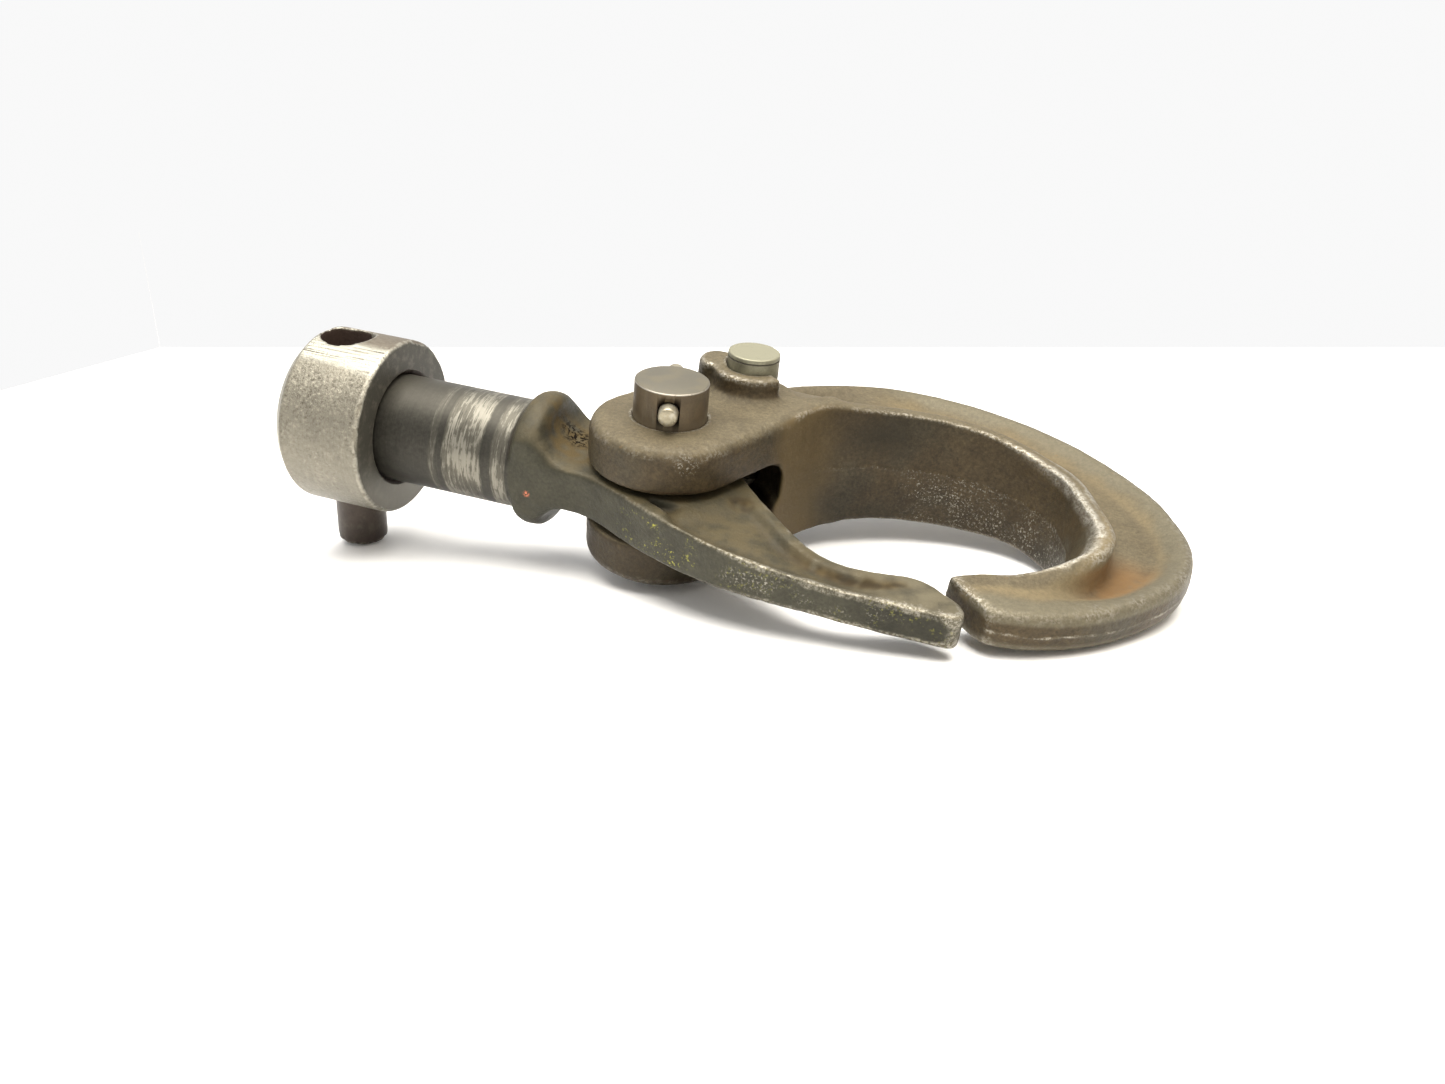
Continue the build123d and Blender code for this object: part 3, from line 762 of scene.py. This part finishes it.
def bowl_seam(points):
    """Trimmed flash line half way up the bowl's inner wall and round its outer rim."""
    out, along, rim_side = about_bowl(local(points))
    height = local(points)[:, 2]
    seam = np.exp(-((height - 0.7 * grain(points, 9, 2.0)) / 0.45) ** 2)
    seam *= np.maximum(step(out, 2.0, 0.9) * step(along, 0.10, 0.16), step(rim_side, 2.0, 0.9))
    return np.clip(seam * (0.6 + 0.6 * grain(points, 6, 4.0)), 0, 1)


def stain_bowl(mesh, q, height, seam):
    """Where rust, dust, ochre, bright flecks and painted shade lie on the bowl."""
    x, _, z = q.T
    points = points_of(mesh)
    out, along, rim_side = about_bowl(q)
    wall = step(out, 2.0, 0.9)
    recess = step(distance(q, (134, -7)), 22, 4) * step(height, 10.0, 7.0)
    mark(mesh, "rust", recess * step(out, 5, 9) * step(rim_side, 6, 10))
    lower = wall * step(-z, -1.5, 1.0) * step(along, 0.28, 0.36) * step(along, 0.74, 0.66)
    flecks = np.clip(lower * (0.75 + 1.3 * grain(points, 9, 6.0)), 0, 1)
    ear_spot = step(distance(q, (12.4, -21.8, 19.0)), 4.5, 1.5)
    low_corner = step(distance(q, (121, 12, -5)), 9, 3)
    mark(mesh, "flecks", np.clip(flecks + ear_spot + 0.9 * low_corner + 0.5 * seam, 0, 1))
    beyond = step(out, 5, 8) * step(x, 50, 66) * step(height, 2.5, 4)
    brim = step(rim_side + 2 * grain(points, 8, 7.0), 11.5, 6.0)
    mark(mesh, "brim", beyond * brim)
    mark(mesh, "dish", beyond * (1 - brim))
    # Painted shade in the middle of the inner wall, under the dip of the crest.
    mark(mesh, "saddle_shade", wall * np.exp(-((x - 61) / 12) ** 2 - ((z - 12) / 8) ** 2))
    ochre = wall * step(x + 4 * grain(points, 12, 8.0), 52, 36) * step(x, 30, 34)
    mark(mesh, "ochre", ochre)


def wear_bowl(mesh, q, height):
    """Wear along the bowl's edges, heaviest on the crest of the flange that a sling rubs."""
    x, y, z = q.T
    out, along, _ = about_bowl(q)
    wall = step(out, 2.0, 0.9)
    share = 1 - 0.9 * step(height, 13, 10) * step(x, 52, 46)
    share *= 1 - 0.75 * step(height, 11, 8) * wall
    share *= 1 - 0.45 * step(along, 0.58, 0.40) * step(out, 12, 8) * step(x, 34, 40)
    share *= 1 - 0.2 * step(x, 40, 34)
    wear = fade_wear(mesh, share)
    crest = step(height, 6.5, 9) * step(out, 6.5, 4.0)
    crest_height = np.interp(y, (-8, 2, 14, 30, 44), (12, 14.2, 15.2, 16, 18.6))
    battered = step(out - crest_lean(x, y, height), 2.6, 1.2)
    battered *= step(z, crest_height - 4.6, crest_height - 2.0)
    battered *= np.clip(0.75 + 1.0 * grain(points_of(mesh), 3.5, 11.0), 0, 1)
    right_end = step(along, 0.44, 0.68) * step(along, 0.88, 0.80) * step(z, 0, 2)
    mark(mesh, "rubbed", np.maximum(step(wear, 0.25, 0.6) * crest, 0.8 * battered) * right_end)


def bowl_piece():
    """Bowl forging with its fork, lock guard, tall flange, dished web and jaw."""
    piece = clay("hook_bowl", "bowl_forging", 0.6)
    sculpt(piece, dish_bowl)
    evened(piece, 0.52)
    mesh = piece.data
    q = local(points_of(mesh))
    from_pivot, height = distance(q), np.abs(q[:, 2])
    bores = step(from_pivot, 11.5, 13.5) * step(distance(q, LOCK_AT), 8.9, 10.2)
    points = soften(mesh, 110, bowl_softness(q) * bores)
    roughen(piece, bores)
    seam = bowl_seam(points)
    set_points(mesh, points_of(mesh) + normals_of(mesh) * (0.30 * MM * seam)[:, None])
    mark_edges(piece)
    # Painted shadow: the inside of the fork's slot, between the ears, is painted near black.
    mark(mesh, "slot_shadow", step(from_pivot, 36.0, 34.0) * step(height, 9.2, 8.2))
    stain_bowl(mesh, local(points), height, seam)
    wear_bowl(mesh, local(points), height)
    mesh.materials.append(forged_bowl_finish())
    return piece


def stain_shank(mesh, points):
    """Where paint, scuffs, pits, dirt and wear lie on the shank forging."""
    q = local(points)
    x, y, z = q.T
    back, _, _ = nearest(q[:, :2], FINGER_BACK)
    front, _, _ = nearest(q[:, :2], FINGER_FRONT)
    thick = np.abs(z)
    side = step(back, 1.6, 0.6) * step(thick, 6.0, 5.0)
    cloud = grain(points, 8, 1.0)
    ridge = np.exp(-((back - 1.2) / 1.5) ** 2) * step(z, 3, 5) * step(x, 30, 48)
    scuffs = side * step(x, 16, 40) * step(x, 84, 66) * step(thick, 4, 1)
    mark(mesh, "scuffs", scuffs * np.clip(0.3 + 1.6 * cloud, 0, 1) + 0.95 * ridge)
    paint = side * (0.22 * step(x, -8, 2) + 0.78 * np.exp(-((x - 10) / 10) ** 2))
    mark(mesh, "paint", paint * np.clip(0.35 + 2.2 * cloud, 0, 1))
    mark(mesh, "pitted", step(distance(q, (-29.5, 1.5)), 7, 2) * step(z, 4, 7))
    root = step(np.hypot((x - 27.0) / 1.3, y + 12), 4.5, 0.5) * step(z, 2, 4)
    groove = np.exp(-((front - 5.6) / 1.7) ** 2)
    groove *= step(x, 40, 56) * step(x, 81, 76) * step(z, 1, 3)
    neck = step(distance(q, (-27, -2)), 14, 8) * step(z, 1, 5)
    dirt = np.max([root, groove, neck], axis=0)
    mark(mesh, "dirt", dirt * np.clip(0.75 + 1.2 * grain(points, 3, 9.0), 0, 1))
    grit = np.clip(0.6 + 1.6 * grain(points, 2.5, 4.0), 0, 1)
    mark(mesh, "soil", grit * np.maximum(0.8 * root, 0.7 * groove))
    mark(mesh, "red_speck", step(distance(q, (-38.3, -18.3, -3.7)), 1.2, 0.5))
    finger = step(x, 22, 48)
    fade_wear(mesh, 1 - 0.65 * (1 - finger) - 0.55 * finger * step(np.abs(front), 6, 3))


def shank_piece():
    """Shank forging with its flange, neck, tang eye and the fixed gate finger."""
    piece = clay("shank_gate_forging", "shank_and_gate_forging", 0.6)
    sculpt(piece, dish_finger)
    evened(piece, 0.52)
    mesh = piece.data
    q = local(points_of(mesh))
    eye = step(distance(q), 11.5, 13.5)
    soft = 0.04 + 0.5 * step(q[:, 0], -46, -41) - 0.40 * step(q[:, 0], -20, -5)
    points = soften(mesh, 90, soft * eye)
    roughen(piece, step(q[:, 0], -46, -42) * eye)
    mark_edges(piece)
    stain_shank(mesh, points)
    mesh.materials.append(forged_shank_finish())
    return piece


def collar_piece():
    """Turned collar with a knocked rim and an open cross hole."""
    piece = clay("shank_collar", "collar", 0.45)
    mesh = piece.data
    points = soften(mesh, 3)
    radius = np.hypot(points[:, 1], points[:, 2]) / MM
    rim = step(radius, 27.0, 28.2) * step(points[:, 0] / MM, -1.6, -0.4)
    knocks = np.clip(grain(points, 4.5, 2.0) - 0.15, 0, 1)
    skin = 0.03 * MM * grain(points, 1.3, 7.0) * step(radius, 27.5, 28.1)
    points += normals_of(mesh) * (skin - 1.1 * MM * rim * knocks)[:, None]
    set_points(mesh, points)
    mark_edges(piece, rounds=8, scale=0.16 * MM)
    from_pin = np.hypot(points[:, 0] - COLLAR_PIN.x, points[:, 1] - COLLAR_PIN_LEAN * points[:, 2]) / MM
    mark(mesh, "hole", step(from_pin, 8.7, 8.3) * step(radius, 28.0, 27.3))
    mesh.materials.append(collar_finish())
    return piece


def skin(shell, rings):
    """Faces from each ring of points to the next; a ring of one point closes an end."""
    for low, high in zip(rings, rings[1:]):
        count = max(len(low), len(high))
        for i in range(count):
            j = (i + 1) % count
            corners = [low[i % len(low)], low[j % len(low)], high[j % len(high)], high[i % len(high)]]
            shell.faces.new(list(dict.fromkeys(corners)))


def smooth_piece(name, shell, sharp):
    """Object from a bmesh, smooth apart from corners over `sharp` degrees."""
    bmesh.ops.recalc_face_normals(shell, faces=shell.faces)
    mesh = bpy.data.meshes.new(name)
    shell.to_mesh(mesh)
    shell.free()
    mesh.shade_smooth()
    mesh.set_sharp_from_angle(angle=math.radians(sharp))
    return object_from(name, mesh)


def circle(count, radius):
    turns = [2 * math.pi * i / count for i in range(count)]
    return [(radius * math.cos(a), radius * math.sin(a)) for a in turns]


def lathe(name, profile, segments=128):
    """Closed solid turned about Z from (radius, height) stations in millimetres."""
    shell = bmesh.new()
    rings = []
    for radius, height in profile:
        spots = circle(segments, radius * MM) if radius else [(0, 0)]
        rings.append([shell.verts.new((x, y, height * MM)) for x, y in spots])
    skin(shell, rings)
    return smooth_piece(name, shell, 28)


def settle(piece, move):
    """Puts a piece's place into its mesh."""
    piece.data.transform(move)
    return piece


# The thin pin through the top of the load pin, and its reach to either side of the pivot axis.
CROSS_TURN = math.radians(14)
CROSS_AXIS = Vector((-math.sin(CROSS_TURN), math.cos(CROSS_TURN), 0))
CROSS_CENTRE = Vector((PIVOT.x, PIVOT.y, sum(z_span("pivot_cross_pin")) / 2 * MM))
CROSS_FRONT = 15.0
CROSS_BACK = 21.5
ALONG_CROSS = Matrix.Translation(CROSS_CENTRE) @ CROSS_AXIS.to_track_quat("Z", "Y").to_matrix().to_4x4()


def pivot_pin_piece():
    """Load pin with its head underneath and a countersunk cross hole near the top."""
    low, high = z_span("pivot_pin")
    profile = [(0, low), (12.4, low), (13.2, low + 0.25), (13.8, low + 0.8), (14, low + 1.6),
               (14, -23.15), (11.1, -23.15), (11.1, high - 0.55), (11.0, high - 0.25),
               (10.75, high - 0.05), (10.6, high), (0, high)]
    piece = settle(lathe("load_pin", profile, 160), Matrix.Translation((PIVOT.x, PIVOT.y, 0)))
    bore = [(0, -20), (3.45, -20), (3.45, -11.1), (2.86, -10.0)]
    bore += [(radius, -along) for radius, along in reversed(bore)]
    cutter = settle(lathe("cutter", bore, 64), ALONG_CROSS)
    cut = piece.modifiers.new("cross_hole", "BOOLEAN")
    cut.object = cutter
    cut.solver = "EXACT"
    made = bake_modifiers(piece)
    bpy.data.objects.remove(cutter)
    points = points_of(made) - np.array(CROSS_CENTRE)
    from_axis = np.linalg.norm(np.cross(points, np.array(CROSS_AXIS)), axis=1) / MM
    mark(made, "hole", from_axis < 3.4)
    made.materials.append(pivot_pin_finish())
    return piece


def cross_pin_piece():
    """Driven pin with slightly domed, peened ends."""
    end = [(2.85, 1.1), (2.78, 0.65), (2.55, 0.25), (2.2, 0.05), (1.2, 0.0), (0, 0.0)]
    profile = [(radius, inset - CROSS_FRONT) for radius, inset in reversed(end)]
    profile += [(radius, CROSS_BACK - inset) for radius, inset in end]
    piece = settle(lathe("load_pin_cross_pin", profile, 64), ALONG_CROSS)
    piece.data.materials.append(cross_pin_finish())
    return piece


AT_LOCK = Matrix.Translation((LOCK.x, LOCK.y, 0))


def lock_pin_piece():
    """Push-button lock pin: button with a fine groove, neck, lock collar and foot, bored for the spring."""
    low, high = z_span("lock_pin")
    profile = [(3.7, low), (9.3, low), (9.5, low + 0.2), (9.5, low + 1.4), (8.35, low + 1.4), (8.35, -6.5),
               (8.15, -6.3), (5.8, -6.3), (5.8, 17.8), (8.15, 17.8), (8.35, 18.0), (8.35, high - 1.75),
               (8.12, high - 1.65), (8.12, high - 1.4), (8.35, high - 1.3), (8.35, high - 0.55),
               (8.2, high - 0.2), (7.9, high), (0, high)]
    bore = [(0, 12.0), (3.7, 12.0)]
    piece = settle(lathe("lock_button_pin", bore + profile), AT_LOCK)
    piece.data.materials.append(lock_pin_finish())
    return piece


def lock_spring_piece():
    """Compression spring between the plug and the end of the lock pin's bore."""
    wire, radius, turns, steps = 0.55, 2.85, 13, 48
    foot, head = z_span("lock_spring")
    shell = bmesh.new()
    rings = []
    for i in range(turns * steps + 1):
        angle = 2 * math.pi * i / steps
        height = foot + wire + (head - foot - 2 * wire) * i / (turns * steps)
        ring = []
        for out, up in circle(12, wire):
            spot = Vector(((radius + out) * math.cos(angle), (radius + out) * math.sin(angle), height + up))
            ring.append(shell.verts.new(spot * MM))
        rings.append(ring)
    skin(shell, rings)
    shell.faces.new(rings[0])
    shell.faces.new(rings[-1])
    piece = settle(smooth_piece("lock_coil_spring", shell, 50), AT_LOCK)
    piece.data.materials.append(round_steel("spring_steel", SPRING_STEEL, 0.35).done())
    return piece


def collar_pin_piece():
    """Cross pin of the collar, its lower end battered by driving."""
    piece = clay("collar_cross_pin", "collar_pin", 0.42)
    mesh = piece.data
    points = soften(mesh, 3)
    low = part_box("collar_cross_pin")[0].z
    end = step((points[:, 2] - low) / MM, 4.5, 0.5)
    chips = np.clip(grain(points, 3.2, 3.0) - 0.05, 0, 1) * 0.9 + 0.12 * grain(points, 1.5, 1.0)
    set_points(mesh, points - normals_of(mesh) * (chips * MM * end)[:, None])
    soften(mesh, 2)
    mark_edges(piece, rounds=8, scale=0.16 * MM)
    mesh.materials.append(collar_pin_finish())
    return piece


pieces = {
    "hook_bowl": (bowl_piece, "hook", "bowl_forging"),
    "shank_gate_forging": (shank_piece, "shank", "gate_forging"),
    "shank_collar": (collar_piece, "shank", "collar"),
    "collar_cross_pin": (collar_pin_piece, "shank", "dark_pin"),
    "pivot_pin": (pivot_pin_piece, "load_pin", "load_pin"),
    "pivot_cross_pin": (cross_pin_piece, "load_pin", "small_pin"),
    "lock_pin": (lock_pin_piece, "lock", "button"),
    "lock_spring": (lock_spring_piece, "hook", "spring"),
}
for node, (make, body, slot) in pieces.items():
    piece = make()
    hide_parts(node)
    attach(piece, body)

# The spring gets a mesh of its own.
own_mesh(bpy.data.objects["lock_coil_spring"])

hidden_parts = {
    "lock_plug": round_steel("plug_steel", PLUG_STEEL, 0.45),
    "lock_retaining_ring": round_steel("ring_phosphate", RING_PHOSPHATE, 0.5),
}
for node, finish in hidden_parts.items():
    cad = frame["nodes"][node]
    cad.data.materials.clear()
    cad.data.materials.append(finish.done())


# ---------------------------------------------------------------- table, backdrop, light, camera
def stage_material(name, colour):
    """Matt surface that is only seen from its front."""
    material = bpy.data.materials.new(name)
    material.use_nodes = True
    nodes = Nodes(material.node_tree)
    shader = nodes.tree.nodes["Principled BSDF"]
    nodes.join((*colour, 1), shader.inputs["Base Color"])
    nodes.join(0.6, shader.inputs["Roughness"])
    backface = nodes.add("ShaderNodeNewGeometry").outputs["Backfacing"]
    clear = nodes.add("ShaderNodeBsdfTransparent").outputs[0]
    mix = nodes.add("ShaderNodeMixShader", {0: backface, 1: shader.outputs[0], 2: clear})
    nodes.join(mix.outputs[0], nodes.tree.nodes["Material Output"].inputs[0])
    return material


def sheet(name, centre, normal, up, size, material):
    """Flat square sheet facing `normal`, for the table and the backdrop."""
    normal = normal.normalized()
    side = up.cross(normal).normalized()
    top = normal.cross(side)
    corners = [centre + side * a * size + top * b * size for a, b in ((-1, -1), (1, -1), (1, 1), (-1, 1))]
    mesh = bpy.data.meshes.new(name)
    mesh.from_pydata([tuple(c) for c in corners], [], [(0, 1, 2, 3)])
    mesh.materials.append(material)
    piece = object_from(name, mesh)
    return piece


# The camera, and the direction along the table away from it.
CAMERA_AT = Vector((0.16723, -0.26353, 0.14588))
CAMERA_FORWARD = Vector((-0.183686, 0.837209, -0.515112))
CAMERA_UP = Vector((-0.214730, 0.477198, 0.852158))
CAMERA_LENS = 24.91
AWAY = (CAMERA_FORWARD - TABLE_UP * CAMERA_FORWARD.dot(TABLE_UP)).normalized()
MIDDLE = Vector((0.1, 0.0, 0.0))


def wall_material():
    """Evenly lit white, like the walls of a photographer's tent."""
    material = stage_material("lit_white_wall", (0.0, 0.0, 0.0))
    sockets = material.node_tree.nodes["Principled BSDF"].inputs
    sockets["Specular IOR Level"].default_value = 0.0
    sockets["Emission Color"].default_value = (1, 1, 1, 1)
    sockets["Emission Strength"].default_value = 0.945
    return material


# Where the corner of the tent stands on the table, and the line of its back wall.
TENT_CORNER = Vector((-0.4375, 0.3528, -0.1712))
TENT_BACK = Vector((0.9596, 0.2657, 0.0926))
TENT_COLOUR = (1, 0.90, 0.76)
LAMP_COLOUR = (1.0, 0.97, 0.92)


def table_and_backdrop():
    on_table = MIDDLE - TABLE_UP * (MIDDLE.dot(TABLE_UP) - TABLE_OFFSET)
    away = TABLE_UP.cross(TENT_BACK)
    sheet("table_top", on_table, TABLE_UP, away, 3.0, stage_material("white_paper", (0.93, 0.925, 0.915)))
    lit, size = wall_material(), 1.4
    sheet("back_wall", TENT_CORNER + (TENT_BACK + TABLE_UP) * size, -away, TABLE_UP, size, lit)
    sheet("left_wall", TENT_CORNER + (TABLE_UP - away) * size, TENT_BACK, TABLE_UP, size, lit)


def studio_light():
    """Large soft lamp over the hook and a weaker one behind it."""
    side = AWAY.cross(TABLE_UP)
    lamps = {
        "top_light": (MIDDLE + TABLE_UP * 0.75 - AWAY * 0.10, 0.8, 19.0),
        "back_light": (MIDDLE + TABLE_UP * 0.45 + AWAY * 0.7 + side * 0.1, 0.6, 5.5),
    }
    for name, (spot, size, power) in lamps.items():
        data = bpy.data.lights.new(name, "AREA")
        data.size = size
        data.energy = power
        data.color = LAMP_COLOUR
        lamp = object_from(name, data)
        lamp.location = spot
        lamp.rotation_mode = "QUATERNION"
        lamp.rotation_quaternion = (MIDDLE - spot).to_track_quat("-Z", "Y")


def surroundings():
    """White tent: bright above and behind the object, dimmer and warmer on the viewer's side."""
    world = bpy.data.worlds.new("tent")
    scene.world = world
    world.use_nodes = True
    nodes = Nodes(world.node_tree)
    to_camera = nodes.add("ShaderNodeLightPath").outputs["Is Camera Ray"]
    outward = nodes.add("ShaderNodeTexCoord").outputs["Generated"]
    bright_side = tuple((AWAY + TABLE_UP * 0.6).normalized())
    dot = nodes.add("ShaderNodeVectorMath", {0: outward, 1: bright_side}, operation="DOT_PRODUCT")
    glow = nodes.ramp(dot.outputs["Value"], -0.9, 0.5, 0.31, 1.45, shape="LINEAR")
    background = nodes.tree.nodes["Background"]
    nodes.join(nodes.mix_number(to_camera, glow, 0.95), background.inputs["Strength"])
    nodes.join(nodes.mix_colour(to_camera, (*TENT_COLOUR, 1), (1, 1, 1, 1)), background.inputs["Color"])


def photographer():
    data = bpy.data.cameras.new("camera")
    data.sensor_width = 36.0
    data.lens = CAMERA_LENS
    data.clip_start = 0.01
    camera = object_from("camera", data)
    right = CAMERA_FORWARD.cross(CAMERA_UP).normalized()
    up = right.cross(CAMERA_FORWARD).normalized()
    turn = Matrix((right, up, -CAMERA_FORWARD.normalized())).transposed()
    camera.matrix_world = Matrix.Translation(CAMERA_AT) @ turn.to_4x4()
    scene.camera = camera


table_and_backdrop()
studio_light()
surroundings()
photographer()
scene.view_settings.view_transform = "Standard"
